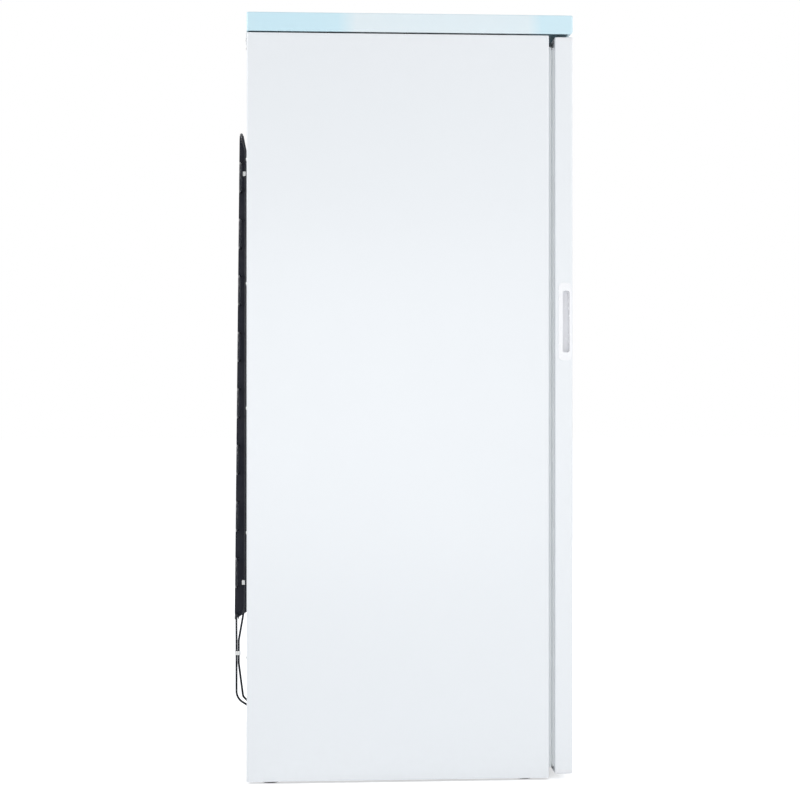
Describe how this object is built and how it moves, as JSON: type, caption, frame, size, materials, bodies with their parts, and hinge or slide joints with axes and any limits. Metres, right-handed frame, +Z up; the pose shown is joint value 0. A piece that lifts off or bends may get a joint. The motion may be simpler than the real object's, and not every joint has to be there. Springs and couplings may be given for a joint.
{
  "type": "refrigerator",
  "caption": "Tall free-standing single-door refrigerator, white enamelled, with a pale blue worktop, a recessed side grip and a black tube-and-wire condenser behind.",
  "frame": {"origin": "on the floor, at the middle of the width and of the whole depth, condenser included", "axes": "+Z up; the door faces -Y and turns on the +X side; +Y is the back"},
  "size_m": [0.604, 0.6421, 1.45],
  "materials": {
    "white_enamel": "smooth gloss enamel",
    "back_sheet": "thin coated sheet",
    "galvanised": "galvanised",
    "worktop_blue": "satin moulded plastic",
    "white_moulding": "satin moulded plastic",
    "liner_white": "thermoformed gloss sheet",
    "foam": "poured foam",
    "seal_grey": "soft vinyl",
    "clear_moulding": "clear moulded plastic",
    "shelf_glass": "toughened glass",
    "aluminium": "rolled aluminium",
    "black_enamel": "black baked enamel",
    "copper": "drawn copper",
    "black_rubber": "moulded rubber",
    "black_moulding": "moulded plastic",
    "grey_moulding": "moulded plastic",
    "lamp_glass": "frosted glass"
  },
  "bodies": {
    "cabinet": {"side_panel_left": "white_enamel", "side_panel_right": "white_enamel", "top_panel": "back_sheet", "top_front_rail": "white_enamel", "bottom_front_rail": "white_enamel", "back_panel": "back_sheet", "underside_pan": "galvanised", "cabinet_foam": "foam", "inner_liner": "liner_white", "worktop": "worktop_blue", "worktop_brackets": "galvanised", "base_channels": "galvanised", "rear_feet": "black_rubber", "compressor_carrier": "galvanised", "top_hinge": "galvanised", "bottom_hinge": "galvanised", "crisper_cover": "shelf_glass", "shelf_trims": "white_moulding", "evaporator_sleeve": "aluminium", "icebox_collar": "white_moulding", "thermostat_housing": "white_moulding", "lamp_cover": "clear_moulding", "lamp_bulb": "lamp_glass", "condenser_tube": "black_enamel", "condenser_wires": "black_enamel", "condenser_strips": "black_enamel", "condenser_clips": "white_moulding", "hot_gas_tube": "black_enamel", "condenser_outlet_tube": "black_enamel", "tube_tie": "white_moulding", "filter_drier": "copper", "capillary_tube": "copper", "suction_tube": "copper", "compressor_shell": "black_enamel", "compressor_mounts": "black_rubber", "relay_box": "black_moulding", "cord_gland": "black_moulding", "evaporation_tray": "black_moulding", "drain_tube": "grey_moulding", "shelf_glass_1": "shelf_glass", "shelf_glass_2": "shelf_glass", "shelf_glass_3": "shelf_glass"},
    "door": {"door_outer_panel": "white_enamel", "door_top_cap": "white_moulding", "door_bottom_cap": "white_moulding", "door_foam": "foam", "door_liner": "liner_white", "door_gasket": "seal_grey", "grip_cup": "white_moulding", "hinge_bushes": "white_moulding", "door_rack_1": "clear_moulding", "door_rack_2": "clear_moulding", "door_rack_3": "clear_moulding", "door_rack_4": "clear_moulding"},
    "freezer_flap": {"icebox_flap": "clear_moulding"},
    "crisper": {"crisper_drawer": "clear_moulding"},
    "knob": {"thermostat_knob": "white_moulding"},
    "door_switch": {"door_switch_plunger": "grey_moulding"},
    "foot_left": {"levelling_foot_left": "black_rubber"},
    "foot_right": {"levelling_foot_right": "black_rubber"}
  },
  "joints": [
    {"name": "door_hinge", "type": "hinge", "parent": "cabinet", "child": "door", "pos_m": [0.288, -0.303, 0.011], "axis": [0, 0, 1], "range_deg": [0, 115]},
    {"name": "freezer_flap_hinge", "type": "hinge", "parent": "cabinet", "child": "freezer_flap", "pos_m": [0, -0.0637, 1.3482], "axis": [-1, 0, 0], "range_deg": [0, 88]},
    {"name": "crisper_slide", "type": "slide", "parent": "cabinet", "child": "crisper", "axis": [0, -1, 0], "range_m": [0, 0.1698]},
    {"name": "thermostat_turn", "type": "hinge", "parent": "cabinet", "child": "knob", "pos_m": [0.226, -0.13, 1.125], "axis": [-1, 0, 0], "range_deg": [0, 280]},
    {"name": "door_switch_slide", "type": "slide", "parent": "cabinet", "child": "door_switch", "axis": [0, -1, 0], "range_m": [0, 0.008]},
    {"name": "foot_left_turn", "type": "hinge", "parent": "cabinet", "child": "foot_left", "pos_m": [-0.273, -0.231, 0], "axis": [0, 0, 1], "continuous": true},
    {"name": "foot_right_turn", "type": "hinge", "parent": "cabinet", "child": "foot_right", "pos_m": [0.273, -0.231, 0], "axis": [0, 0, 1], "continuous": true}
  ],
  "couplings": [
    {"joint": "crisper_slide", "follows": "door_hinge", "m_per_rad": 0.0846},
    {"joint": "door_switch_slide", "follows": "door_hinge", "m_per_rad": 0.00398}
  ]
}
